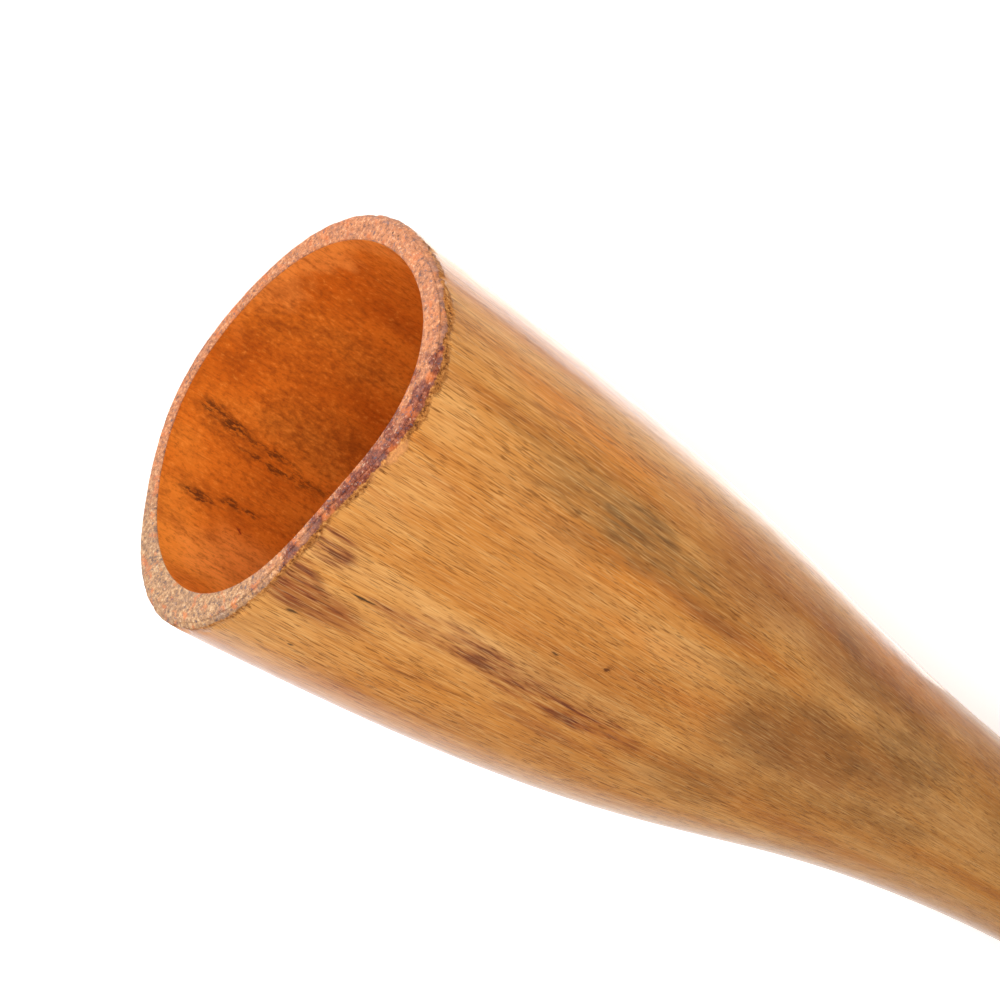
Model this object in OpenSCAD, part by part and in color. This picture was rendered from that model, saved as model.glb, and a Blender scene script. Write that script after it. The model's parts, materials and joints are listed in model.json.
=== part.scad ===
// Didgeridoo: a log split lengthwise, hollowed and glued back together, with a flared bell,
// a sealed bell rim and a beeswax mouthpiece. It lies on a surface, bell towards -X.
// Millimetres. The origin is on the surface, under the middle of the instrument.

/* [Length] */
// Length from the bell's rim to the mouthpiece's lip
length = 1300; // [1100:10:1500]
// Sideways sweep of the log, an S along its length
bow = 6; // [0:1:12]
// Roll of the log to the side that it rests on
roll = -9; // [-20:1:20]

/* [Bell] */
// Mean outer radius of the bell
bell_r = 56.5; // [52:0.5:60]
// Mean radius of the bore at the bell
bell_bore_r = 49.3; // [44:0.1:50]
// Ovalness of the bell, as a share of its radius
bell_oval = 0.10; // [0:0.01:0.12]
// Distance from the rim to the middle of the flare
flare_mid = 230; // [200:5:260]
// Distance over which the flare fades, larger being more gradual
flare_soft = 54; // [45:1:65]
// Radius of the rim's rounded outer edge
rim_round = 1.6; // [1.2:0.1:3]
// Thickness of the seal on the rim's end grain
seal_t = 0.6; // [0.3:0.1:1]

/* [Neck] */
// Outer radius of the neck behind the flare
neck_r = 35; // [31:0.5:36]
// Radius of the bore behind the flare
neck_bore_r = 24; // [22:0.5:26]
// Height of the natural unevenness of the neck
lump_h = 1.1; // [0:0.1:1.5]
// Height of the two trimmed branch knots
knot_h = 2.4; // [0:0.2:3]

/* [Mouth end] */
// Outer radius of the wood at the mouth end
mouth_r = 25; // [24:0.5:27]
// Radius of the wood's bore at the mouth end
mouth_bore_r = 18; // [17:0.5:19]
// Length of the straight, turned end
turned_l = 40; // [30:5:60]

/* [Mouthpiece] */
// Radius of the hole in the beeswax
wax_bore_r = 15; // [13:0.5:15.5]
// Widest radius of the beeswax
wax_r = 28.6; // [28:0.1:30]
// Height of the beeswax above the wood
wax_h = 9; // [8:0.5:12]
// Depth of the beeswax inside the wood's bore
sleeve_l = 12; // [8:1:20]
// Length of the beeswax down the outside of the wood
skirt_l = 15; // [10:1:25]

/* [Joints] */
// Thickness of the two glue lines
glue_t = 0.3; // [0.1:0.1:0.4]
// Gap between the beeswax and the faceted wood
wax_gap = 0.25; // [0.2:0.05:0.4]

/* [Hidden] */

// Each row is a wave round the section: waves in a turn, share of the radius, phase in degrees.
bell_waves = [[2, bell_oval, 9], [3, 0.05, 163], [4, 0.035, -68]];
bore_waves = [[2, 0.8 * bell_oval, 8], [3, 0.037, 145], [4, 0.02, -84]];
// Each row is a knot: distance from the rim, angle round the tube, spread.
knots = [[545, 62, 26], [905, 205, 20]];

wood_end = length - wax_h;
taper_end = wood_end - turned_l;
lump_start = 240;
lump_full = 420;
around = 28; // facets round each half shell
arc_n = 4; // facets of a rounded edge
outline_n = 120; // points round the rim seal
lip_r = 5; // rounding of the beeswax's outer lip
lip_bore_r = 3; // rounding of its inner lip
feather = 3; // taper at the ends of the sleeve and the skirt
skirt_t = 0.8; // thickness of the skirt's edge

function total(v) = v * [for (x = v) 1];
function mix(a, b, t) = a + (b - a) * t;
function clamp01(t) = min(1, max(0, t));
function smooth(t) = let (u = clamp01(t)) u * u * (3 - 2 * u);

// How much of the bell there is at a distance s from the rim: 1 at the rim and 0 along the neck.
function flare(s) = (1 + exp(-flare_mid / flare_soft)) / (1 + exp((s - flare_mid) / flare_soft));
function waves(rows, phi) = total([for (w = rows) w[1] * cos(w[0] * phi - w[2])]);
function tapered(from, to, s) = mix(from, to, clamp01(s / taper_end));
function profile_r(bell, neck, mouth, rows, s, phi) =
    let (f = flare(s), n = tapered(neck, mouth, s)) mix(n, bell, f) * (1 + f * waves(rows, phi));

// The neck's unevenness fades out at the flare and at the turned end.
function lump_fade(s) =
    smooth((s - lump_start) / (lump_full - lump_start)) * smooth((taper_end - s) / turned_l);
function lumps(s, phi) =
    lump_h * (0.6 * sin(360 * s / 410 + phi) + 0.4 * sin(360 * s / 230 - 2 * phi + 40));
function turn_gap(a, b) = abs((a - b + 540) % 360 - 180);
function knot_rise(k, s, phi) =
    let (across = turn_gap(phi, k[1]) * PI / 180 * neck_r, along = (s - k[0]) / 1.6)
    knot_h * exp(-(across * across + along * along) / (k[2] * k[2]));
function knot_rises(s, phi) = total([for (k = knots) knot_rise(k, s, phi)]);

function outer_r(s, phi) =
    profile_r(bell_r, neck_r, mouth_r, bell_waves, s, phi)
    + lump_fade(s) * (lumps(s, phi) + knot_rises(s, phi));
function bore_r(s, phi) = profile_r(bell_bore_r, neck_bore_r, mouth_bore_r, bore_waves, s, phi);
function sweep_y(s) = bow * sin(360 * s / length) * pow(sin(180 * s / length), 2);

// A place on the tube: distance from the rim, angle, radius, and how far it is moved up.
function place_on(s, phi, r, up) = [s, sweep_y(s) + r * cos(phi), r * sin(phi) + up];

// Stations along the wood: close together at the rim, on the flare and over the knots.
stations = concat(
    [10, 25],
    [for (s = [50 : 20 : 430]) s],
    [for (i = [1 : 20]) mix(430, taper_end - 10, i / 20)],
    [taper_end, wood_end]
);
rim_arc = [for (i = [0 : arc_n])
    let (a = 90 * i / arc_n) [seal_t + rim_round * (1 - cos(a)), -rim_round * (1 - sin(a))]];
// The outer line is pairs of a station and what the edge takes off the radius there.
outer_line = concat(rim_arc, [for (s = stations) [s, 0]]);
bore_line = concat([for (p = rim_arc) p[0]], stations);

// The wood between two angles, moved up by a little to leave room for the glue. Each angle has a
// closed ring of points, out along the outside and back along the bore.
module half_log(from, to, steps, up) {
    n = len(outer_line);
    angles = [for (i = [0 : steps]) mix(from, to, i / steps)];
    points = [for (phi = angles) each concat(
        [for (p = outer_line) place_on(p[0], phi, outer_r(p[0], phi) + p[1], up)],
        [for (i = [n - 1 : -1 : 0]) place_on(bore_line[i], phi, bore_r(bore_line[i], phi), up)]
    )];
    m = 2 * n;
    sides = [for (i = [0 : steps - 1], j = [0 : m - 1])
        [i * m + j, i * m + (j + 1) % m, (i + 1) * m + (j + 1) % m, (i + 1) * m + j]];
    first = [for (j = [0 : n - 2]) [j, m - 1 - j, m - 2 - j, j + 1]];
    last = [for (f = first) [for (k = [3 : -1 : 0]) steps * m + f[k]]];
    polyhedron(points, concat(sides, first, last), convexity = 6);
}

// A flat strip of glue between the two shells, on the side at angle phi, which is 0 or 180.
module glue_strip(phi) {
    n = len(outer_line);
    edge = concat(
        [for (p = outer_line) place_on(p[0], phi, outer_r(p[0], phi) + p[1], 0)],
        [for (i = [n - 1 : -1 : 0]) place_on(bore_line[i], phi, bore_r(bore_line[i], phi), 0)]
    );
    m = 2 * n;
    points = [for (up = [-glue_t / 2, glue_t / 2], p = edge) p + [0, 0, up]];
    bottom = [for (j = [0 : n - 2]) [j, j + 1, m - 2 - j, m - 1 - j]];
    top = [for (f = bottom) [for (k = [3 : -1 : 0]) m + f[k]]];
    sides = [for (j = [0 : m - 1]) [j, m + j, m + (j + 1) % m, (j + 1) % m]];
    flip = phi == 0 ? [0 : 3] : [3 : -1 : 0];
    polyhedron(points, [for (f = concat(bottom, top, sides)) [for (k = flip) f[k]]], convexity = 4);
}

// A place on the tube once the tube has rolled.
function rolled(p) = [p[0], p[1] * cos(roll) - p[2] * sin(roll), p[1] * sin(roll) + p[2] * cos(roll)];
function skin(s, i) = let (phi = 180 * i / around, up = phi < 180 ? glue_t / 2 : -glue_t / 2)
    rolled(place_on(s, phi, outer_r(s, phi), up));

// The tube rests on the beeswax and on the belly of the bell, so its axis dips towards the mouth.
wax_low_s = length - lip_r;
function belly(s) = -min([for (i = [0 : 2 * around]) skin(s, i)[2]]);
dip = max([for (s = stations) if (s < flare_mid) atan((belly(s) - wax_r) / (wax_low_s - s))]);

wax_profile = concat(
    [[wax_bore_r, feather - sleeve_l], [mouth_bore_r - wax_gap, -sleeve_l]],
    [[mouth_bore_r - wax_gap, 0], [mouth_r + wax_gap, 0]],
    [[mouth_r + wax_gap, -skirt_l], [mouth_r + wax_gap + skirt_t, -skirt_l]],
    [for (a = [0 : 22.5 : 90]) [
        mix(mouth_r + wax_gap + skirt_t, wax_r, sin(a)),
        mix(-skirt_l, 0, 1 - cos(a))
    ]],
    [for (a = [0 : 15 : 90]) [wax_r - lip_r * (1 - cos(a)), wax_h - lip_r * (1 - sin(a))]],
    [for (a = [90 : 15 : 180]) [wax_bore_r + lip_bore_r * (1 + cos(a)), wax_h - lip_bore_r * (1 - sin(a))]]
);

outline_angles = [for (i = [0 : outline_n - 1]) 360 * i / outline_n];
function rim_line(phi) = outer_r(0, phi) - rim_round;
rim_outline = [for (phi = outline_angles) rim_line(phi) * [cos(phi), sin(phi)]];
rim_hole = [for (phi = outline_angles) bore_r(0, phi) * [cos(phi), sin(phi)]];

// The origin is under the middle of the box round the instrument as it lies.
x_low = min([for (phi = outline_angles) rolled(place_on(0, phi, rim_line(phi), 0))[2] * sin(dip)]);
x_high = max([for (p = wax_profile) (wood_end + p[1]) * cos(dip) + p[0] * sin(dip)]);
side_y = [for (s = stations, i = [0 : 2 * around]) skin(s, i)[1]];
floor_z = max([for (p = wax_profile) (wood_end + p[1]) * sin(dip) + p[0] * cos(dip)]);

// Carries a piece from the tube's frame, with its axis along X, to where it lies on the surface.
module laid_down() {
    translate([-(x_low + x_high) / 2, -(min(side_y) + max(side_y)) / 2, floor_z])
        rotate([0, dip, 0]) rotate([roll, 0, 0]) children();
}

module upper_shell() {
    color("peru") laid_down() half_log(0, 180, around, glue_t / 2);
}

module lower_shell() {
    color("peru") laid_down() half_log(180, 360, around, -glue_t / 2);
}

module left_glue_line() {
    color("saddlebrown") laid_down() glue_strip(180);
}

module right_glue_line() {
    color("saddlebrown") laid_down() glue_strip(0);
}

module rim_seal() {
    color("rosybrown") laid_down() rotate([90, 0, 90]) linear_extrude(seal_t) difference() {
        polygon(rim_outline);
        polygon(rim_hole);
    }
}

module wax_mouthpiece() {
    color("goldenrod") laid_down() translate([wood_end, 0, 0]) rotate([0, 90, 0])
        rotate_extrude($fn = 96) polygon(wax_profile);
}

upper_shell();
lower_shell();
left_glue_line();
right_glue_line();
rim_seal();
wax_mouthpiece();
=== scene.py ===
"""Looks of a wooden didgeridoo that lies on its side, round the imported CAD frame.

Places on the tube are given as a distance from the bell's rim, an angle round the tube and a
radius. Angle 0 is the glue line on the player's right, and 90 degrees is the tube's upper side.
"""

import json
from math import pi, radians

import bpy
import numpy as np
from mathutils import Matrix, Vector, noise
from mathutils.bvhtree import BVHTree


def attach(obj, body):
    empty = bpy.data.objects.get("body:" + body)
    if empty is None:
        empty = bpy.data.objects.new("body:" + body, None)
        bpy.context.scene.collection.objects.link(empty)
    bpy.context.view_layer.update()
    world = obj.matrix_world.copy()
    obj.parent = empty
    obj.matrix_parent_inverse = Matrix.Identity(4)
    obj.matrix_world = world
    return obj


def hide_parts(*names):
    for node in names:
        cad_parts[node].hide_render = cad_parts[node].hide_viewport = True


MM = 0.001

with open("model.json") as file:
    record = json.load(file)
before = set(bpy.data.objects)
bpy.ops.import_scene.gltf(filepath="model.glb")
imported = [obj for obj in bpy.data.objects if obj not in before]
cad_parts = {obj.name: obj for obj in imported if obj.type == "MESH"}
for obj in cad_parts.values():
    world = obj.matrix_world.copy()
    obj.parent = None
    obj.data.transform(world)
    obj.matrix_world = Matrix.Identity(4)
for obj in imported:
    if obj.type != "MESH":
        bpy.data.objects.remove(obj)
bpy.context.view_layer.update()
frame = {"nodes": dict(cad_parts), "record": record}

# ------------------------------------------------------------------ the tube's own axes

mounts = {mount["name"]: mount for mount in frame["record"]["mounts"]}
AXIS = Vector(mounts["mouth_bore"]["axis"]).normalized()
hole = Vector(mounts["mouth_bore"]["pos_m"])
rim_place = Vector(mounts["bell_rim"]["pos_m"])
BELL = hole + AXIS * (rim_place - hole).dot(AXIS)
SIDE = (rim_place - BELL).normalized()
TOP = AXIS.cross(SIDE)
TUBE = np.array([AXIS, SIDE, TOP])


def in_row(points):
    """Points in the tube's axes, as the row's frame has them."""
    return np.asarray(points) @ TUBE + np.array(BELL)


def in_tube(points):
    """Points in the row's frame, as the tube's axes have them."""
    return (np.asarray(points) - np.array(BELL)) @ TUBE.T


def on_tube(along, angle, radius, lift=0.0):
    """Row points for arrays of distance, angle in radians and radius, moved up by lift."""
    along, angle, radius = np.broadcast_arrays(along, angle, radius)
    across = radius * np.cos(angle)
    up = radius * np.sin(angle) + lift
    return in_row(np.stack([along, across, up], axis=-1))


def node_places(name):
    mesh = frame["nodes"][name].data
    return in_tube([vertex.co for vertex in mesh.vertices])


SEAL = node_places("rim_seal")[:, 0].max()
WOOD_END = node_places("upper_shell")[:, 0].max()
EDGE_ROUND = 1.6 * MM
HALF_GLUE = 0.15 * MM
WAX_BORE = mounts["mouth_bore"]["dims"]["r_mm"] * MM

# ------------------------------------------------------------------ surfaces of the wood


def shell_tree():
    """Both CAD shells as one tree for casting rays."""
    points, faces = [], []
    for name in ("upper_shell", "lower_shell"):
        mesh = frame["nodes"][name].data
        first = len(points)
        points += [vertex.co.copy() for vertex in mesh.vertices]
        faces += [[first + index for index in face.vertices] for face in mesh.polygons]
    return BVHTree.FromPolygons(points, faces)


class Surface:
    """A smooth radius for every distance and angle, through samples of a faceted surface."""

    SAMPLES = 120
    WAVES = 16
    STEP = 5 * MM
    BLUR = 2.0

    def __init__(self, tree, outside):
        first, last = EDGE_ROUND + SEAL + MM, WOOD_END - MM
        self.along = np.arange(first, last, self.STEP)
        self.start = pi / self.SAMPLES
        angles = self.start + 2 * pi * np.arange(self.SAMPLES) / self.SAMPLES
        centres = on_tube(self.along[:, None], angles, 0.0)
        far = on_tube(self.along[:, None], angles, 0.1)
        starts, ends = (far, centres) if outside else (centres, far)
        radii = self.cast(tree, starts, ends, centres)
        waves = np.fft.rfft(radii, axis=1)[:, : self.WAVES] / self.SAMPLES
        waves[:, 1:] *= 2
        self.waves = self.blurred(waves)

    def cast(self, tree, starts, ends, centres):
        """Distances from the centres to where rays from starts to ends first meet the tree."""
        towards = ends - starts
        hits = []
        for start, direction in zip(starts.reshape(-1, 3), towards.reshape(-1, 3)):
            hits.append(tree.ray_cast(start, direction)[0])
        return np.linalg.norm(np.array(hits).reshape(centres.shape) - centres, axis=-1)

    def blurred(self, waves):
        """Smooths along the tube, and keeps the slope at both ends."""
        reach = int(4 * self.BLUR)
        offsets = np.arange(-reach, reach + 1)
        weights = np.exp(-0.5 * (offsets / self.BLUR) ** 2)
        weights /= weights.sum()
        padded = np.pad(waves, ((reach, reach), (0, 0)), mode="reflect", reflect_type="odd")
        columns = [np.convolve(column, weights, mode="valid") for column in padded.T]
        return np.array(columns).T

    def __call__(self, along, angles):
        """Radii as a grid, with a row for each distance and a column for each angle."""
        slope_in = (self.waves[1] - self.waves[0]) / self.STEP
        rows = []
        for s in np.atleast_1d(along):
            if s < self.along[0]:
                rows.append(self.waves[0] + slope_in * (s - self.along[0]))
                continue
            real = [np.interp(s, self.along, wave) for wave in self.waves.real.T]
            imaginary = [np.interp(s, self.along, wave) for wave in self.waves.imag.T]
            rows.append(np.array(real) + 1j * np.array(imaginary))
        turns = np.outer(np.arange(self.WAVES), np.atleast_1d(angles) - self.start)
        return (np.array(rows) @ np.exp(1j * turns)).real


tree = shell_tree()
outside_of_wood = Surface(tree, outside=True)
bore_of_wood = Surface(tree, outside=False)

# ------------------------------------------------------------------ mesh helpers


def add_piece(name, points, faces, materials, slots=None, crease=40):
    """A smooth-shaded mesh object in the row's frame, with sharp edges over crease degrees."""
    mesh = bpy.data.meshes.new(name)
    mesh.from_pydata(np.asarray(points).reshape(-1, 3).tolist(), [], faces)
    for material in materials:
        mesh.materials.append(material)
    if slots is not None:
        mesh.polygons.foreach_set("material_index", slots)
    mesh.polygons.foreach_set("use_smooth", [True] * len(mesh.polygons))
    mesh.set_sharp_from_angle(angle=radians(crease))
    mesh.validate()
    piece = bpy.data.objects.new(name, mesh)
    bpy.context.scene.collection.objects.link(piece)
    return piece


def ring_faces(columns, ring, closed):
    """Quads between neighbouring columns, each a closed ring of points."""
    faces = []
    for column in range(columns if closed else columns - 1):
        here, there = column * ring, (column + 1) % columns * ring
        for point in range(ring):
            after = (point + 1) % ring
            faces.append((here + point, here + after, there + after, there + point))
    return faces


def rough(places, scale, seed):
    """Smooth noise from -1 to 1 at each row place, for features of about scale metres."""
    flat = np.asarray(places).reshape(-1, 3) / scale + seed
    values = [noise.noise(Vector(place)) for place in flat]
    return np.array(values).reshape(np.asarray(places).shape[:-1])


def smooth_step(low, high, value):
    t = np.clip((value - low) / (high - low), 0, 1)
    return t * t * (3 - 2 * t)


# ------------------------------------------------------------------ the half shells


def spaced(first, last, step, growth, largest):
    """Distances from first to last whose spacing grows from step up to largest."""
    places = [first]
    while places[-1] < last:
        places.append(places[-1] + step)
        step = min(step * growth, largest)
    return np.array(places[:-1] + [last])


ARC_STEPS = 9
arc = np.linspace(0, pi / 2, ARC_STEPS)
arc_along = SEAL + EDGE_ROUND * (1 - np.cos(arc))
arc_drop = EDGE_ROUND * (1 - np.sin(arc))
body_along = spaced(SEAL + EDGE_ROUND, WOOD_END, 0.45 * MM, 1.045, 8 * MM)[1:]
line_along = np.concatenate([arc_along, body_along])
line_drop = np.concatenate([arc_drop, np.zeros(len(body_along))])
HALF_COLUMNS = 361
FINISH_HEIGHT = 0.07 * MM
TORN_FULL = 2.2 * MM
TORN_END = 5.5 * MM
OUTSIDE_SLOT, BORE_SLOT, RAW_SLOT = 0, 1, 2


def hand_finish(along, angles):
    """Shallow unevenness left by the maker's rasp and sandpaper, always inwards."""
    s = along[:, None] / MM
    a = angles[None, :]
    waves = np.sin(s / 37 + 3 * a) + 0.7 * np.sin(s / 23 - 5 * a + 1) + 0.5 * np.sin(s / 61 + 7 * a)
    highest = 0.7 + 0.5 + 1
    return FINISH_HEIGHT * (waves - highest)


def torn_edge(places, along):
    """How far the rim's rounded edge is torn back, in metres."""
    near = 1 - smooth_step(TORN_FULL, TORN_END, along)[:, None]
    fibres = 0.12 * rough(places, 0.9 * MM, 3.1)
    lumps = 0.22 * rough(places, 3.5 * MM, 8.4)
    chips = 0.7 * smooth_step(0.28, 0.55, rough(places, 5 * MM, 21.7))
    return near * MM * (0.15 + fibres + lumps + chips)


def half_shell(name, first_angle, lift, materials):
    """One half of the log as a closed mesh: a ring of points at each angle, and two seam faces."""
    angles = first_angle + np.linspace(0, pi, HALF_COLUMNS)
    outer = outside_of_wood(line_along, angles) - line_drop[:, None]
    outer += hand_finish(line_along, angles)
    inner = bore_of_wood(line_along, angles)
    torn_rows = line_along < TORN_END
    edge = on_tube(line_along[torn_rows, None], angles[None, :], outer[torn_rows])
    outer[torn_rows] -= np.clip(torn_edge(edge, line_along[torn_rows]), 0, None)
    outer_places = on_tube(line_along[:, None], angles[None, :], outer, lift)
    inner_places = on_tube(line_along[:, None], angles[None, :], inner, lift)
    loops = np.concatenate([outer_places, inner_places[::-1]]).transpose(1, 0, 2)
    stations = len(line_along)
    ring = 2 * stations
    faces = ring_faces(HALF_COLUMNS, ring, closed=False)
    slots = [OUTSIDE_SLOT] * (stations - 1) + [RAW_SLOT]
    slots += [BORE_SLOT] * (stations - 1) + [RAW_SLOT]
    slots *= HALF_COLUMNS - 1
    for first, flip in ((0, False), ((HALF_COLUMNS - 1) * ring, True)):
        for i in range(stations - 1):
            quad = (first + i, first + ring - 1 - i, first + ring - 2 - i, first + i + 1)
            faces.append(quad[::-1] if flip else quad)
            slots.append(RAW_SLOT)
    return add_piece(name, loops, faces, materials, slots)


def glue_line(name, angle, material):
    """A thin bead in the gap between the shells, a hair below the wood on both sides."""
    sunk = 0.05 * MM
    waviness = 0.04 * MM * np.sin(line_along / (3 * MM))
    outer = outside_of_wood(line_along, [angle])[:, 0] - line_drop - EDGE_ROUND * 0.1
    outer += hand_finish(line_along, np.array([angle]))[:, 0]
    outer -= waviness + sunk
    inner = bore_of_wood(line_along, [angle])[:, 0] + sunk
    corners = []
    for radius, side in ((outer, -1), (outer, 1), (inner, 1), (inner, -1)):
        corners.append(on_tube(line_along, angle, radius, side * HALF_GLUE))
    points = np.stack(corners, axis=1)
    faces = ring_faces(len(line_along), 4, closed=False)
    last = (len(line_along) - 1) * 4
    faces += [(3, 2, 1, 0), (last, last + 1, last + 2, last + 3)]
    return add_piece(name, points, faces, [material])


# ------------------------------------------------------------------ the rim's seal


def rim_seal(material):
    """The coat on the end grain: a ring with a bumpy face and rounded, wandering edges."""
    columns, steps = 1080, 26
    middle_depth, deepest = 0.16, 0.95
    angles = 2 * pi * np.arange(columns) / columns
    inner = bore_of_wood(SEAL, angles)[0]
    outer = outside_of_wood(SEAL, angles)[0] - EDGE_ROUND
    across = np.linspace(0, 1, steps)
    edge_place = on_tube(0.0, angles, outer)
    outer = outer + 0.15 * MM * (rough(edge_place, 2.5 * MM, 5.3) - 0.6)
    inner = inner + 0.06 * MM * (1 + rough(edge_place, 4 * MM, 9.2))
    radius = inner[:, None] + (outer - inner)[:, None] * across[None, :]
    face = on_tube(0.0, angles[:, None], radius)
    bumps = 0.10 * rough(face, 0.7 * MM, 1.7) + 0.10 * rough(face, 2.2 * MM, 6.1)
    rounding = 0.55 * np.abs(2 * across - 1) ** 9
    depth = SEAL * np.clip(middle_depth + bumps + rounding[None, :], 0, deepest)
    top = on_tube(depth, angles[:, None], radius)
    back = on_tube(SEAL, angles[:, None], np.stack([outer, inner], axis=1))
    loops = np.concatenate([top, back], axis=1)
    faces = ring_faces(columns, steps + 2, closed=True)
    return add_piece("end_grain_seal", loops, faces, [material], crease=60)


# ------------------------------------------------------------------ the beeswax


wax_places = node_places("wax_mouthpiece")
WAX_RADIUS = np.hypot(wax_places[:, 1], wax_places[:, 2]).max()
WAX_HEIGHT = wax_places[:, 0].max() - WOOD_END


# The wood's end inside the wax, with a hair of clearance, and how far the wax covers it.
WOOD_OUTSIDE = 25.06 * MM
SLEEVE_OUTSIDE = 17.7 * MM
SLEEVE_DEPTH = 11.5 * MM
SKIRT_DEPTH = 13.2 * MM
SKIRT_EDGE = 0.35 * MM
SKIRT_ROUND = 0.5 * MM
SLEEVE_BEVEL = 1.4 * MM
END_GAP = 0.02 * MM
WAX_COLUMNS = 288


def wax_outline(angle):
    """Distance past the wood's end and radius, round the beeswax's section at an angle."""
    skirt = -SKIRT_DEPTH + 1.6 * MM * np.sin(3 * angle + 1) * np.cos(5 * angle)
    foot = WOOD_OUTSIDE + SKIRT_ROUND
    lip = 0.5 * (WAX_RADIUS - WAX_BORE)
    middle = WAX_BORE + lip
    points = [(skirt, WOOD_OUTSIDE), (skirt - 0.1 * MM, WOOD_OUTSIDE + SKIRT_EDGE)]
    for a in np.linspace(0, pi / 2, 13):
        along = skirt * (1 - np.sin(a)) ** 1.15
        points.append((along, foot + (WAX_RADIUS - foot) * np.sin(a) ** 0.8))
    for a in np.linspace(0, pi, 25)[1:]:
        across = np.sign(np.cos(a)) * abs(np.cos(a)) ** 0.8
        points.append((WAX_HEIGHT * np.sin(a) ** 0.62, middle + lip * across))
    for along in np.linspace(-1.5 * MM, 3 * MM - SLEEVE_DEPTH, 6):
        points.append((along, WAX_BORE))
    points.append((SLEEVE_BEVEL - SLEEVE_DEPTH, WAX_BORE + 1 * MM))
    points.append((-SLEEVE_DEPTH, SLEEVE_OUTSIDE))
    points += [(-END_GAP, SLEEVE_OUTSIDE), (-END_GAP, WOOD_OUTSIDE)]
    return np.array(points)


def wax_mouthpiece(material):
    """The beeswax, with finger-pressed lumps where it touches neither the wood nor the floor."""
    angles = 2 * pi * np.arange(WAX_COLUMNS) / WAX_COLUMNS
    sections = np.array([wax_outline(a) for a in angles])
    along = WOOD_END + sections[..., 0]
    radius = sections[..., 1]
    places = on_tube(along, angles[:, None], radius)
    clear_of_hole = smooth_step(19 * MM, 24 * MM, radius)
    clear_of_wood = smooth_step(25.2 * MM, 26.5 * MM, radius)
    above_lowest = places[..., 2] - places[..., 2].min()
    clear_of_floor = 1 - np.exp(-((above_lowest / (3 * MM)) ** 2))
    lumps = 0.5 * rough(places, 14 * MM, 2.2) + 0.22 * rough(places, 6 * MM, 7.9) - 0.45
    radius = radius + MM * lumps * clear_of_hole * clear_of_wood * clear_of_floor
    places = on_tube(along, angles[:, None], radius)
    faces = ring_faces(WAX_COLUMNS, sections.shape[1], closed=True)
    return add_piece("beeswax_ring", places, faces, [material], crease=70)


# ------------------------------------------------------------------ material helpers

# The radius in mm that the unrolled grain has all along the tube.
EVEN_RADIUS = 50


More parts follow.
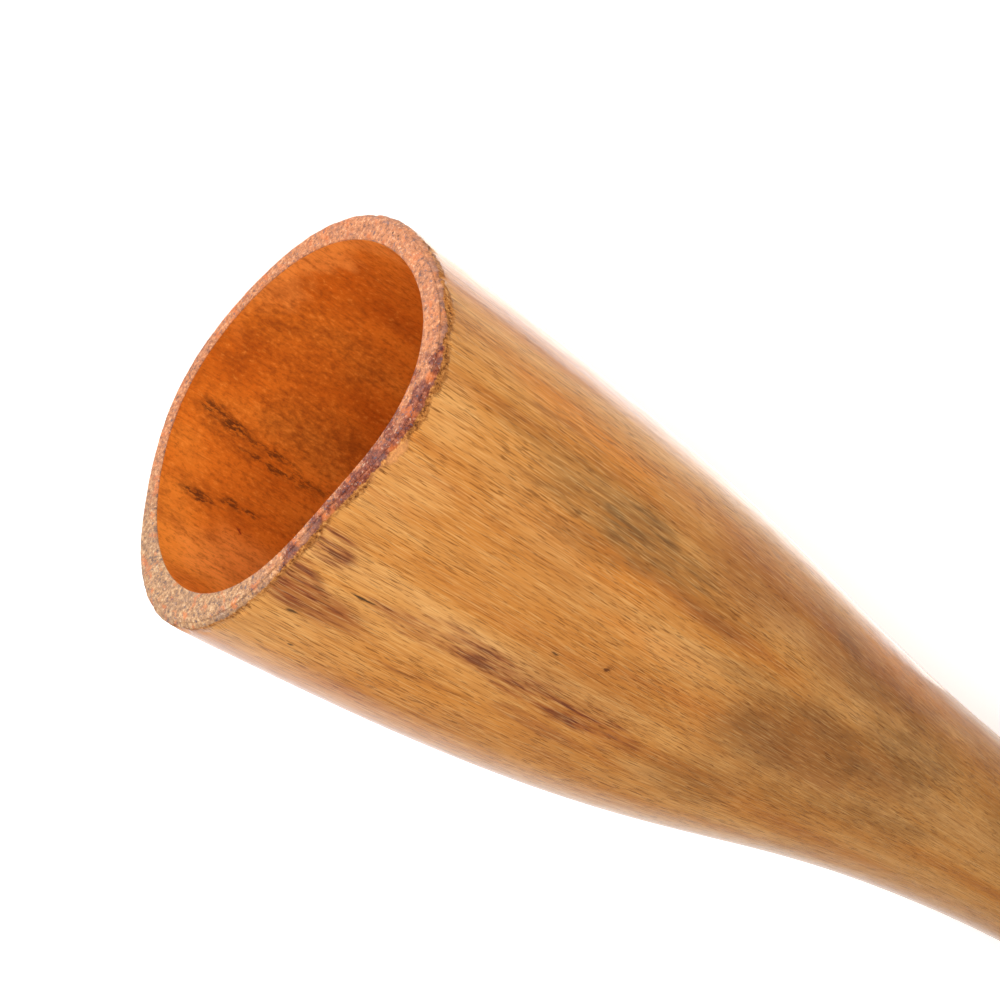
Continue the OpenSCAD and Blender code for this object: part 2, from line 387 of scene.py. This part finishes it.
class Net:
    """The node tree of one material, with its coordinates in millimetres along the tube."""

    def __init__(self, name):
        self.material = bpy.data.materials.new(name)
        self.material.use_nodes = True
        self.tree = self.material.node_tree
        self.tree.nodes.clear()
        self.shader = self.add("ShaderNodeBsdfPrincipled")
        output = self.add("ShaderNodeOutputMaterial")
        self.link(self.shader.outputs["BSDF"], output.inputs["Surface"])
        place = self.add("ShaderNodeTexCoord").outputs["Object"]
        self.place = self.mapped(place, (1000, 1000, 1000))

    def add(self, kind, **values):
        node = self.tree.nodes.new(kind)
        for name, value in values.items():
            setattr(node, name, value)
        return node

    def link(self, source, target):
        self.tree.links.new(source, target)

    def feed(self, value, target):
        """Links a socket, or sets a plain value."""
        if isinstance(value, bpy.types.NodeSocket):
            self.link(value, target)
        else:
            target.default_value = value

    def mapped(self, place, scale, shift=(0, 0, 0)):
        node = self.add("ShaderNodeMapping")
        self.link(place, node.inputs["Vector"])
        node.inputs["Scale"].default_value = scale
        node.inputs["Location"].default_value = shift
        return node.outputs["Vector"]

    def noise(self, length, width, detail=3, roughness=0.5, distortion=0.0, shift=0.0, place=None):
        """Noise whose features are about length mm along the tube and width mm across it."""
        scale = (1 / length, 1 / width, 1 / width)
        node = self.add("ShaderNodeTexNoise")
        where = place if place is not None else self.place
        self.link(self.mapped(where, scale, (shift, shift, shift)), node.inputs["Vector"])
        node.inputs["Scale"].default_value = 1
        node.inputs["Detail"].default_value = detail
        node.inputs["Roughness"].default_value = roughness
        node.inputs["Distortion"].default_value = distortion
        return node.outputs["Fac"]

    def span(self, value, low, high, to_low=0.0, to_high=1.0):
        """A value stretched from low..high to to_low..to_high, and held at the ends."""
        node = self.add("ShaderNodeMapRange", interpolation_type="SMOOTHSTEP")
        self.link(value, node.inputs["Value"])
        numbers = (low, high, to_low, to_high)
        for name, number in zip(("From Min", "From Max", "To Min", "To Max"), numbers):
            node.inputs[name].default_value = number
        return node.outputs["Result"]

    def sums(self, operation, first, second):
        """Arithmetic on two values, each a socket or a number."""
        node = self.add("ShaderNodeMath", operation=operation)
        self.feed(first, node.inputs[0])
        self.feed(second, node.inputs[1])
        return node.outputs["Value"]

    def blend(self, amount, first, second):
        """Two colours mixed by an amount."""
        node = self.add("ShaderNodeMix", data_type="RGBA")
        self.feed(amount, node.inputs["Factor"])
        self.feed(first, node.inputs[6])
        self.feed(second, node.inputs[7])
        return node.outputs[2]

    def ramp(self, value, stops):
        """A colour for a value, from (position, colour) stops."""
        node = self.add("ShaderNodeValToRGB")
        elements = node.color_ramp.elements
        while len(elements) < len(stops):
            elements.new(0.5)
        for element, (position, colour) in zip(elements, stops):
            element.position = position
            element.color = colour
        self.link(value, node.inputs["Fac"])
        return node.outputs["Color"]

    def spot(self, place, centre, length, width):
        """1 inside an ellipsoid at a row place, fading to 0 at its edge. Sizes are in mm."""
        fade_from = 0.4
        away = self.add("ShaderNodeVectorMath", operation="SUBTRACT")
        self.link(place, away.inputs[0])
        away.inputs[1].default_value = [value / MM for value in centre]
        shaped = self.mapped(away.outputs["Vector"], (2 / length, 2 / width, 2 / width))
        size = self.add("ShaderNodeVectorMath", operation="LENGTH")
        self.link(shaped, size.inputs[0])
        return self.span(size.outputs["Value"], fade_from, 1, 1, 0)

    def spots(self, place, surface, rows):
        """The strongest of many spots, one for each row of a list of stains."""
        result = None
        for along, angle, length, width, strength in rows:
            turn = radians(angle)
            radius = surface(along * MM, [turn])[0, 0]
            mask = self.spot(place, on_tube(along * MM, turn, radius), length, width)
            mask = self.sums("MULTIPLY", mask, strength)
            result = mask if result is None else self.sums("MAXIMUM", result, mask)
        return result

    def unrolled(self):
        """The place as if the tube had one radius all along, so that grain follows the flare."""
        flat = self.add("ShaderNodeCombineXYZ")
        self.link(self.down_to(SIDE), flat.inputs["Y"])
        self.link(self.down_to(TOP), flat.inputs["Z"])
        turned = self.add("ShaderNodeVectorMath", operation="NORMALIZE")
        self.link(flat.outputs["Vector"], turned.inputs[0])
        even = self.mapped(turned.outputs["Vector"], (0, EVEN_RADIUS, EVEN_RADIUS))
        along = self.add("ShaderNodeCombineXYZ")
        self.link(self.down_to(AXIS), along.inputs["X"])
        return self.moved(along.outputs["Vector"], even)

    def moved(self, place, offset):
        node = self.add("ShaderNodeVectorMath", operation="ADD")
        self.link(place, node.inputs[0])
        self.link(offset, node.inputs[1])
        return node.outputs["Vector"]

    def wander(self, amount, length, width, place=None):
        """The place pushed about by noise, so that the edges of stains wander."""
        node = self.add("ShaderNodeTexNoise")
        scale = (1 / length, 1 / width, 1 / width)
        start = place if place is not None else self.place
        self.link(self.mapped(start, scale), node.inputs["Vector"])
        node.inputs["Scale"].default_value = 1
        node.inputs["Detail"].default_value = 3
        centred = self.add("ShaderNodeVectorMath", operation="SUBTRACT")
        self.link(node.outputs["Color"], centred.inputs[0])
        centred.inputs[1].default_value = (0.5, 0.5, 0.5)
        scaled = self.mapped(centred.outputs["Vector"], (3 * amount, amount, amount))
        return self.moved(start, scaled)

    def down_to(self, direction):
        """How far in mm a place is from the bell's middle in a direction."""
        distance = self.add("ShaderNodeVectorMath", operation="DOT_PRODUCT")
        self.link(self.place, distance.inputs[0])
        distance.inputs[1].default_value = direction
        return self.sums("SUBTRACT", distance.outputs["Value"], BELL.dot(direction) / MM)

    def bump(self, height, depth, below=None):
        """A bump of depth mm for a height from 0 to 1, on top of another bump."""
        node = self.add("ShaderNodeBump")
        node.inputs["Distance"].default_value = depth * MM
        node.inputs["Strength"].default_value = 1
        self.link(height, node.inputs["Height"])
        if below is not None:
            self.link(below, node.inputs["Normal"])
        return node.outputs["Normal"]

    def set(self, **values):
        for name, value in values.items():
            self.feed(value, self.shader.inputs[name.replace("_", " ")])


def rgb(red, green, blue):
    """A colour as it looks on a screen, from 0 to 255, for a shader."""
    linear = []
    for part in (red, green, blue):
        v = part / 255
        linear.append(v / 12.92 if v <= 0.04045 else ((v + 0.055) / 1.055) ** 2.4)
    return (*linear, 1.0)


# ------------------------------------------------------------------ wood outside

# Rows of stains, here and below: distance from the rim in mm, angle in degrees, length and width
# in mm, and strength.
GREY_STAINS = [
    (40, 60, 50, 13, 0.45),
    (66, 63, 66, 19, 0.65),
    (92, 66, 58, 24, 1.0),
    (112, 68, 52, 20, 0.7),
    (134, 73, 50, 14, 0.4),
    (190, 104, 70, 22, 0.35),
    (208, 82, 56, 12, 0.35),
    (244, 90, 64, 10, 0.35),
    (262, 74, 70, 18, 0.45),
    (180, 132, 60, 24, 0.5),
    (206, 50, 30, 7, 0.5),
    (60, 70, 64, 6, 0.6),
    (78, 77, 44, 12, 0.4),
    (168, 84, 76, 12, 0.35),
    (156, 134, 50, 20, 0.15),
    (216, 60, 44, 18, 0.4),
]
OLIVE_STAINS = [
    (196, 98, 80, 44, 0.6),
    (225, 100, 130, 60, 0.6),
    (262, 84, 120, 70, 0.8),
    (340, 60, 160, 60, 0.5),
]
BROWN_STAINS = [
    (218, 54, 170, 30, 0.9),
    (148, 58, 90, 30, 0.9),
    (216, 94, 100, 34, 0.9),
    (248, 92, 60, 20, 0.7),
    (16, 136, 50, 18, 1.0),
    (112, 118, 80, 20, 0.4),
]
RED_STAINS = [
    (48, 128, 44, 11, 0.8),
    (74, 127, 52, 12, 0.9),
    (100, 129, 50, 13, 0.9),
    (124, 128, 40, 13, 1.0),
    (139, 131, 34, 9, 0.6),
    (108, 138, 60, 8, 0.4),
    (58, 141, 44, 6, 0.35),
    (9, 120, 22, 16, 0.9),
    (8, 133, 26, 20, 1.0),
    (26, 137, 36, 14, 0.7),
    (88, 149, 50, 14, 0.35),
    (52, 52, 60, 7, 0.4),
]
ORANGE_STAINS = [
    (60, 48, 90, 12, 0.8),
    (78, 80, 80, 14, 0.6),
    (118, 92, 70, 12, 0.6),
    (160, 104, 60, 14, 0.5),
    (250, 40, 120, 20, 0.9),
]
PALE_STAINS = [
    (10, 92, 40, 30, 0.5),
    (9, 67, 30, 22, 0.7),
    (20, 152, 60, 30, 0.4),
    (130, 90, 50, 14, 0.5),
    (160, 136, 34, 10, 0.8),
]
CRACKS = [
    (28, 128.5, 15, 0.9, 1.0),
    (13.5, 141, 6, 1.4, 0.9),
    (23, 150, 2.4, 1.2, 0.9),
    (94, 113, 4, 1.0, 0.8),
]
SMALL_KNOTS = [(114, 108.5, 3.4, 2.4, 1.0)]


def dark_stains(net, colour, wandering, streaky):
    """Soft brown and olive patches, streaky grey ones, and red streaks with darker dregs."""
    drifting = net.wander(16, 50, 16)
    brown = net.spots(drifting, outside_of_wood, BROWN_STAINS)
    colour = net.blend(net.sums("MULTIPLY", brown, 0.6), colour, rgb(144, 80, 36))
    olive = net.spots(drifting, outside_of_wood, OLIVE_STAINS)
    mottles = net.noise(26, 9, detail=3, roughness=0.6, shift=3.9)
    olive = net.sums("MULTIPLY", olive, net.span(mottles, 0.38, 0.62, 0.35, 1.0))
    colour = net.blend(net.sums("MULTIPLY", olive, 0.75), colour, rgb(136, 88, 42))
    grey = net.spots(wandering, outside_of_wood, GREY_STAINS)
    grey = net.sums("MULTIPLY", grey, net.span(streaky, 0.34, 0.62, 0.45, 1.0))
    colour = net.blend(net.sums("MULTIPLY", grey, 0.8), colour, rgb(104, 74, 46))
    red = net.spots(wandering, outside_of_wood, RED_STAINS)
    wine = net.sums("MULTIPLY", red, net.span(streaky, 0.36, 0.60, 0.2, 1.0))
    colour = net.blend(net.sums("MULTIPLY", wine, 0.75), colour, rgb(136, 66, 36))
    dregs = net.sums("MULTIPLY", red, net.span(streaky, 0.53, 0.64))
    return net.blend(net.sums("MULTIPLY", dregs, 0.7), colour, rgb(84, 38, 34))


def varnish_coat(net, unrolled, torn):
    """How thick the varnish is: worn on the upper side, and gone where the rim is torn."""
    height = net.add("ShaderNodeSeparateXYZ")
    net.link(unrolled, height.inputs["Vector"])
    low, high = 0.34 * EVEN_RADIUS, 0.62 * EVEN_RADIUS
    worn = net.span(height.outputs["Z"], low, high, 0.5, 0.08)
    return net.sums("MULTIPLY", worn, net.span(torn, 0.0, 1.0, 1.0, 0.2))


def outside_wood():
    """Varnished wood: broad bands, fibres, short dark pores, stains and a worn rim edge."""
    net = Net("varnished_wood")
    unrolled = net.unrolled()
    flow = net.wander(1.3, 90, 26, unrolled)
    bands = net.noise(170, 15, detail=4, roughness=0.55, distortion=0.3, place=flow)
    clouds = net.noise(60, 24, detail=3, shift=3.3)
    fibres = net.noise(40, 0.9, detail=4, roughness=0.6, shift=1.1, place=flow)
    lines = net.noise(13, 0.3, detail=1, roughness=0.5, shift=5.2, place=flow)
    hairs = net.noise(10, 0.28, detail=1, shift=7.7, place=flow)
    pores = net.noise(5.5, 0.24, detail=1, roughness=0.4, shift=8.7, place=flow)
    density = net.noise(46, 10, detail=2, shift=4.4)

    colour = net.ramp(
        bands,
        [
            (0.30, rgb(215, 158, 96)),
            (0.44, rgb(206, 144, 77)),
            (0.56, rgb(196, 127, 58)),
            (0.70, rgb(174, 103, 47)),
        ],
    )
    wandering = net.wander(7, 24, 6)
    ragged = net.wander(1.0, 4, 0.8)
    streaky = net.noise(20, 1.5, detail=3, roughness=0.6, shift=6.6, place=flow)
    orange = net.spots(wandering, outside_of_wood, ORANGE_STAINS)
    colour = net.blend(net.sums("MULTIPLY", orange, 0.6), colour, rgb(208, 122, 40))
    pale = net.spots(wandering, outside_of_wood, PALE_STAINS)
    colour = net.blend(net.sums("MULTIPLY", pale, 0.5), colour, rgb(222, 168, 104))
    colour = net.blend(net.span(clouds, 0.45, 0.75, 0, 0.45), colour, rgb(176, 124, 72))
    colour = net.blend(net.span(fibres, 0.56, 0.74, 0, 0.28), colour, rgb(236, 184, 116))
    colour = net.blend(net.span(fibres, 0.50, 0.32, 0, 0.28), colour, rgb(150, 88, 36))

    colour = dark_stains(net, colour, wandering, streaky)
    colour = net.blend(net.span(hairs, 0.52, 0.68, 0, 0.22), colour, rgb(244, 198, 130))
    colour = net.blend(net.span(lines, 0.53, 0.68, 0, 0.4), colour, rgb(138, 80, 36))
    pore = net.sums("SUBTRACT", pores, net.span(density, 0.3, 0.7, 0.0, 0.07))
    pore = net.span(pore, 0.565, 0.635)
    colour = net.blend(net.sums("MULTIPLY", pore, 0.52), colour, rgb(88, 42, 14))
    knot = net.spots(ragged, outside_of_wood, SMALL_KNOTS)
    colour = net.blend(net.sums("MULTIPLY", knot, 0.85), colour, rgb(86, 42, 20))
    crack = net.spots(ragged, outside_of_wood, CRACKS)
    colour = net.blend(net.sums("MULTIPLY", crack, 0.9), colour, rgb(58, 44, 32))

    torn, torn_colour, torn_height = torn_rim(net, colour)
    roughness = net.span(net.noise(12, 3, detail=3, shift=2.0), 0.3, 0.7, 0.30, 0.42)
    roughness = net.sums("MAXIMUM", roughness, net.sums("MULTIPLY", torn, 0.7))
    normal = net.bump(fibres, 0.03)
    normal = net.bump(net.sums("SUBTRACT", 1.0, pore), 0.03, normal)
    normal = net.bump(torn_height, 0.22, normal)
    coat = varnish_coat(net, unrolled, torn)
    net.set(Base_Color=torn_colour, Roughness=roughness, Normal=normal)
    net.set(Specular_IOR_Level=0.05, Coat_Weight=coat, Coat_Roughness=0.07)
    return net.material


RIM_PITS = [
    (0, 1.8, 2.2, 1.2, 1.0),
    (0, 4.9, 2.2, 1.2, 0.9),
]


def middle_of_rim(along, angles):
    """Radii halfway through the wall."""
    return 0.5 * (outside_of_wood(along, angles) + bore_of_wood(along, angles))


def seal_colour(net):
    """Speckled sealer colour, greyer low on the left, with painted shade: darker and redder on the
    upper side.
    """
    up = net.down_to(TOP)
    across = net.down_to(SIDE)
    speckle = net.noise(1.3, 1.3, detail=4, roughness=0.85, shift=4.1)
    patches = net.noise(5, 5, detail=2, shift=2.4)
    flecks = net.noise(1.1, 1.1, detail=3, roughness=0.7, shift=9.9)
    light = net.ramp(
        speckle,
        [
            (0.34, rgb(92, 64, 58)),
            (0.44, rgb(148, 94, 62)),
            (0.56, rgb(180, 116, 76)),
            (0.68, rgb(200, 152, 112)),
        ],
    )
    tan = net.ramp(
        speckle,
        [
            (0.34, rgb(78, 68, 68)),
            (0.44, rgb(128, 96, 70)),
            (0.56, rgb(162, 126, 90)),
            (0.68, rgb(190, 162, 126)),
        ],
    )
    # Painted shade: a darker, redder copy of the speckle's colours.
    dark = net.ramp(
        speckle,
        [
            (0.34, rgb(58, 36, 36)),
            (0.44, rgb(96, 46, 32)),
            (0.56, rgb(126, 66, 44)),
            (0.68, rgb(162, 106, 80)),
        ],
    )
    colour = net.blend(net.span(across, -20, -54, 0, 0.9), light, tan)
    # Painted shade on the ring's upper side, leaning a little towards the left.
    painted_shade = net.sums("ADD", up, net.span(patches, 0.3, 0.7, -5, 5))
    painted_shade = net.sums("SUBTRACT", painted_shade, net.sums("MULTIPLY", across, 0.1))
    colour = net.blend(net.span(painted_shade, 39, 47), colour, dark)
    orange = net.span(net.noise(3.4, 3.4, detail=3, shift=5.9), 0.54, 0.68, 0, 0.55)
    colour = net.blend(orange, colour, rgb(184, 98, 48))
    colour = net.blend(net.span(flecks, 0.58, 0.65, 0, 0.7), colour, rgb(78, 74, 84))
    colour = net.blend(net.span(flecks, 0.40, 0.33, 0, 0.4), colour, rgb(214, 178, 150))
    grime = net.noise(8, 6, detail=3, roughness=0.6, shift=0.7)
    edge = net.span(net.down_to(AXIS), 0.3, 0.8, 0.35, 1.0)
    grime = net.sums("MULTIPLY", edge, net.span(grime, 0.44, 0.68, 0.0, 0.5))
    colour = net.blend(grime, colour, rgb(88, 74, 76))
    pits = net.spots(net.wander(0.5, 1, 1), middle_of_rim, RIM_PITS)
    colour = net.blend(net.sums("MULTIPLY", pits, 0.85), colour, rgb(52, 26, 20))
    return colour, speckle, patches


RIM_CHIPS = [
    (2, 22, 9, 22, 0.8),
    (2, 42, 12, 22, 1.0),
    (2, 60, 10, 20, 1.0),
    (2, 74, 7, 14, 0.8),
    (3, 84, 7, 12, 1.0),
    (2, 100, 5, 14, 0.6),
    (2, 120, 6, 16, 0.7),
]
# Painted highlight: pale spots where a torn ridge on the rim's edge catches the light, in colour
# only, with no raised shape.
RIM_PAINTED_HIGHLIGHTS = [(3, 84, 7, 12, 1.0), (3, 92, 5, 8, 0.7)]


def torn_rim(net, colour):
    """Where the rim's edge is torn, with its colour and height. The sealer laps over it."""
    along = net.down_to(AXIS)
    frayed = net.wander(2.4, 3, 2)
    chips = net.spots(frayed, outside_of_wood, RIM_CHIPS)
    # Mask for the painted highlight on the torn ridge.
    painted_highlight = net.spots(frayed, outside_of_wood, RIM_PAINTED_HIGHLIGHTS)
    jagged = net.sums("MULTIPLY", net.noise(2.6, 2.0, detail=4, roughness=0.7, shift=9.1), 4.4)
    jagged = net.sums("ADD", jagged, net.sums("MULTIPLY", chips, 2.0))
    torn = net.span(net.sums("SUBTRACT", along, jagged), -0.8, 1.2, 1, 0)
    nicks = net.noise(5, 0.5, detail=2, roughness=0.5, shift=3.9)
    reach = net.sums("SUBTRACT", nicks, net.span(along, 1.5, 9.0, 0.0, 0.25))
    colour = net.blend(net.span(reach, 0.54, 0.62, 0, 0.75), colour, rgb(92, 50, 22))
    speckle = net.noise(1.1, 0.9, detail=3, roughness=0.75, shift=7.3)
    raw = net.ramp(
        speckle,
        [
            (0.34, rgb(74, 42, 24)),
            (0.44, rgb(134, 80, 38)),
            (0.56, rgb(172, 110, 54)),
            (0.70, rgb(208, 150, 88)),
        ],
    )
    # Painted highlight on the torn ridge.
    raw = net.blend(net.sums("MULTIPLY", painted_highlight, 0.55), raw, rgb(232, 160, 100))
    raw = net.blend(net.span(net.down_to(TOP), 4, -10, 0, 0.85), raw, rgb(84, 72, 76))
    lap = net.sums("MULTIPLY", net.noise(2.2, 2.2, detail=4, roughness=0.7, shift=1.7), 2.4)
    sealed = net.span(net.sums("SUBTRACT", along, lap), 0.1, 0.6, 1, 0)
    raw = net.blend(sealed, raw, seal_colour(net)[0])
    height = net.sums("MULTIPLY", torn, speckle)
    return torn, net.blend(torn, colour, raw), height


# ------------------------------------------------------------------ bore, rim, glue and wax

BORE_STREAKS = [
    (12, 257, 18, 6.0, 0.9),
    (20, 255, 16, 6.0, 1.0),
    (34, 254, 34, 3.2, 0.9),
    (40, 249, 44, 3.6, 0.9),
    (52, 251, 26, 3.2, 0.8),
    (15, 225, 20, 5.0, 1.0),
    (28, 229, 12, 4.4, 0.9),
    (35, 229, 8, 3.4, 0.9),
]
# Dark patches in the bore: partly the wood's own dark clouds, partly painted shade deep inside and
# where the near rim shades the wall.
BORE_CLOUDS_AND_PAINTED_SHADE = [
    (20, 254, 34, 16, 0.6),
    (46, 268, 60, 26, 0.7),
    (40, 300, 44, 22, 0.5),
    (16, 227, 24, 10, 0.5),
    (10, 285, 16, 26, 0.5),
    (22, 294, 60, 36, 0.5),
]
# Painted light: paler orange patches where light falls into the bore, by the rim on the right-hand
# wall and further in on the left.
BORE_PAINTED_LIGHT = [
    (0, 322, 26, 74, 0.8),
    (0, 352, 26, 36, 0.6),
    (36, 200, 70, 44, 1.0),
]
BORE_KNOTS = [(31, 220, 3.4, 3.0, 1.0)]


def bore_wood():
    """The bore: a saturated orange varnish over mottled wood, with painted light by the mouth and
    painted shade deeper in.
    """
    net = Net("bore_varnish")
    mottle = net.noise(2.6, 1.3, detail=4, roughness=0.7, shift=1.9)
    soft = net.noise(12, 6, detail=4, roughness=0.65, shift=4.6)
    broad = net.noise(60, 26, detail=2, shift=6.0)
    streak = net.noise(14, 0.7, detail=3, roughness=0.6, shift=2.7, place=net.unrolled())
    torn = net.noise(3.2, 1.0, detail=4, roughness=0.75, shift=8.1)
    colour = net.ramp(
        broad,
        [
            (0.32, rgb(220, 128, 44)),
            (0.50, rgb(206, 108, 30)),
            (0.68, rgb(184, 88, 20)),
        ],
    )
    # Painted light in the bore: paler orange where light falls in.
    lights = net.spots(net.wander(10, 14, 8), bore_of_wood, BORE_PAINTED_LIGHT)
    colour = net.blend(net.sums("MULTIPLY", lights, 0.6), colour, rgb(242, 150, 70))
    colour = net.blend(net.span(soft, 0.45, 0.70, 0, 0.5), colour, rgb(150, 70, 18))
    colour = net.blend(net.span(mottle, 0.48, 0.68, 0, 0.45), colour, rgb(118, 52, 14))
    colour = net.blend(net.span(mottle, 0.46, 0.30, 0, 0.4), colour, rgb(236, 146, 62))
    colour = net.blend(net.span(streak, 0.5, 0.72, 0, 0.3), colour, rgb(116, 50, 14))
    # Dark patches: the wood's clouds and painted shade, broken up by the mottle.
    clouds_and_shade = net.spots(net.wander(10, 14, 8), bore_of_wood, BORE_CLOUDS_AND_PAINTED_SHADE)
    clouds_and_shade = net.sums("MULTIPLY", clouds_and_shade, net.span(mottle, 0.34, 0.6, 0.4, 1.0))
    colour = net.blend(net.sums("MULTIPLY", clouds_and_shade, 0.6), colour, rgb(112, 50, 16))
    ragged = net.wander(3.0, 4, 1.6)
    dark = net.spots(ragged, bore_of_wood, BORE_STREAKS)
    dark = net.sums("MULTIPLY", dark, net.span(torn, 0.43, 0.57, 0.1, 1.0))
    colour = net.blend(net.sums("MULTIPLY", dark, 0.85), colour, rgb(66, 32, 16))
    knot = net.spots(ragged, bore_of_wood, BORE_KNOTS)
    colour = net.blend(net.sums("MULTIPLY", knot, 0.8), colour, rgb(122, 30, 12))
    roughness = net.span(mottle, 0.3, 0.7, 0.40, 0.55)
    normal = net.bump(mottle, 0.05, net.bump(streak, 0.04))
    net.set(Base_Color=colour, Roughness=roughness, Normal=normal)
    net.set(Specular_IOR_Level=0.3, Coat_Weight=0.1, Coat_Roughness=0.3)
    return net.material


def seal_coat():
    """Speckled sealer on the end grain."""
    net = Net("rim_seal")
    colour, speckle, patches = seal_colour(net)
    normal = net.bump(speckle, 0.16, net.bump(patches, 0.2))
    net.set(Base_Color=colour, Roughness=net.span(speckle, 0.3, 0.7, 0.75, 0.55), Normal=normal)
    net.set(Specular_IOR_Level=0.2)
    return net.material


def raw_wood():
    """Bare wood on the seam faces and the mouth end, which other pieces cover."""
    net = Net("raw_wood")
    fibres = net.noise(12, 0.8, detail=3)
    colour = net.ramp(fibres, [(0.3, rgb(196, 150, 96)), (0.7, rgb(140, 92, 48))])
    net.set(Base_Color=colour, Roughness=net.span(fibres, 0.3, 0.7, 0.6, 0.8))
    net.set(Normal=net.bump(fibres, 0.08))
    return net.material


def glue_bead():
    net = Net("glue")
    specks = net.noise(4, 0.6, detail=3)
    colour = net.ramp(specks, [(0.3, rgb(150, 96, 46)), (0.7, rgb(96, 56, 28))])
    net.set(Base_Color=colour, Roughness=net.span(specks, 0.3, 0.7, 0.35, 0.6))
    net.set(Normal=net.bump(specks, 0.05))
    return net.material


def beeswax():
    """Hand-moulded wax: cloudy golden brown, with finger smears and a few dark specks."""
    net = Net("beeswax")
    clouds = net.noise(11, 11, detail=3, shift=1.5)
    smears = net.noise(3, 9, detail=3, roughness=0.6, shift=3.5)
    specks = net.noise(1.1, 1.1, detail=2, shift=8.0)
    colour = net.ramp(
        clouds,
        [
            (0.3, rgb(214, 158, 74)),
            (0.5, rgb(196, 134, 52)),
            (0.7, rgb(166, 104, 38)),
        ],
    )
    colour = net.blend(net.span(smears, 0.4, 0.7, 0, 0.3), colour, rgb(226, 184, 112))
    colour = net.blend(net.span(specks, 0.68, 0.74, 0, 0.8), colour, rgb(92, 56, 26))
    normal = net.bump(smears, 0.25, net.bump(clouds, 0.5))
    net.set(Base_Color=colour, Roughness=net.span(smears, 0.3, 0.7, 0.38, 0.58), Normal=normal)
    net.set(Subsurface_Weight=0.25, Subsurface_Radius=(0.004, 0.002, 0.001))
    net.set(Specular_IOR_Level=0.5, Coat_Weight=0.1, Coat_Roughness=0.35)
    return net.material


# ------------------------------------------------------------------ the object

wood_materials = [outside_wood(), bore_wood(), raw_wood()]
glue = glue_bead()
made = [
    (half_shell("upper_half", 0.0, HALF_GLUE, wood_materials), "upper_shell", "varnished_wood"),
    (half_shell("lower_half", pi, -HALF_GLUE, wood_materials), "lower_shell", "varnished_wood"),
    (glue_line("left_glue_bead", pi, glue), "left_glue_line", "glue"),
    (glue_line("right_glue_bead", 0.0, glue), "right_glue_line", "glue"),
    (rim_seal(seal_coat()), "rim_seal", "rim_seal"),
    (wax_mouthpiece(beeswax()), "wax_mouthpiece", "beeswax"),
]
for piece, node, slot in made:
    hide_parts(node)
    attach(piece, "root")

# ------------------------------------------------------------------ floor, light and camera


def pale_floor():
    """A plain floor that glows a little, so that it comes out as white as the photo's."""
    reach = 6.0
    mesh = bpy.data.meshes.new("floor")
    corners = [(-reach, -reach, 0), (reach, -reach, 0), (reach, reach, 0), (-reach, reach, 0)]
    mesh.from_pydata(corners, [], [(0, 1, 2, 3)])
    floor = bpy.data.objects.new("floor", mesh)
    bpy.context.scene.collection.objects.link(floor)
    net = Net("pale_floor")
    net.set(Base_Color=rgb(250, 250, 250), Roughness=0.9)
    net.set(Emission_Color=(1, 1, 1, 1), Emission_Strength=0.45)
    mesh.materials.append(net.material)


def look_at(thing, place, aim, up=(0, 0, 1)):
    """Puts a camera or light at a place, facing aim, with its own top towards up."""
    back = (Vector(place) - Vector(aim)).normalized()
    right = Vector(up).cross(back).normalized()
    over = back.cross(right)
    axes = Matrix((right, over, back)).transposed().to_4x4()
    thing.matrix_world = Matrix.Translation(place) @ axes


def area_light(name, place, aim, width, height, watts, up=(0, 0, 1)):
    """A rectangular softbox."""
    data = bpy.data.lights.new(name, "AREA")
    data.shape = "RECTANGLE"
    data.size = width
    data.size_y = height
    data.energy = watts
    light = bpy.data.objects.new(name, data)
    bpy.context.scene.collection.objects.link(light)
    look_at(light, place, aim, up)
    return light


def floor_glow(name, place, length, width, watts):
    """A strip on the floor that shows only as a reflection along the varnished tube."""
    above = Vector(place) + Vector((0, 0, 1))
    glow = area_light(name, place, above, length, width, watts, up=(0, 1, 0))
    glow.visible_camera = False
    glow.visible_diffuse = False


# Softboxes that the varnish doesn't mirror: name, place, aim, width, height and watts.
SOFTBOXES = [
    ("overhead", (-0.65, 0.0, 1.65), (-0.55, 0, 0.05), 2.0, 1.6, 3.6),
    ("key", (-1.0, 0.02, 0.67), (-0.63, 0, 0.05), 0.45, 0.45, 4.2),
    ("bell_fill", (-1.25, 0.0, 0.25), (-0.65, 0, 0.05), 1.6, 0.5, 6.5),
    ("neck_fill", (0.4, 0.0, 1.2), (0.35, 0, 0.03), 1.2, 1.0, 2.4),
]

pale_floor()
for softbox in SOFTBOXES:
    area_light(*softbox).visible_glossy = False
floor_glow("right_glow", (-0.50, 0.085, 0.004), 0.42, 0.065, 0.10)

world = bpy.data.worlds.new("studio")
world.use_nodes = True
world.node_tree.nodes["Background"].inputs["Color"].default_value = (1, 1, 1, 1)
world.node_tree.nodes["Background"].inputs["Strength"].default_value = 0.3
bpy.context.scene.world = world

# The camera looks down into the bell. Its place, aim and top are in the tube's axes.
CAMERA_PLACE = (-0.3187, -0.0017, 0.4841)
CAMERA_AIM = (0.0830, 0.0109, 0.0)
CAMERA_TOP = (-0.417, 0.849, -0.324)
camera_data = bpy.data.cameras.new("camera")
camera_data.lens = 76.8
camera_data.sensor_width = 36
camera_data.clip_start = 0.01
camera = bpy.data.objects.new("camera", camera_data)
bpy.context.scene.collection.objects.link(camera)
camera_up = Vector(np.array(CAMERA_TOP) @ TUBE)
look_at(camera, Vector(in_row(CAMERA_PLACE)), Vector(in_row(CAMERA_AIM)), camera_up)
bpy.context.scene.camera = camera
bpy.context.scene.view_settings.view_transform = "Standard"
bpy.context.scene.view_settings.look = "None"
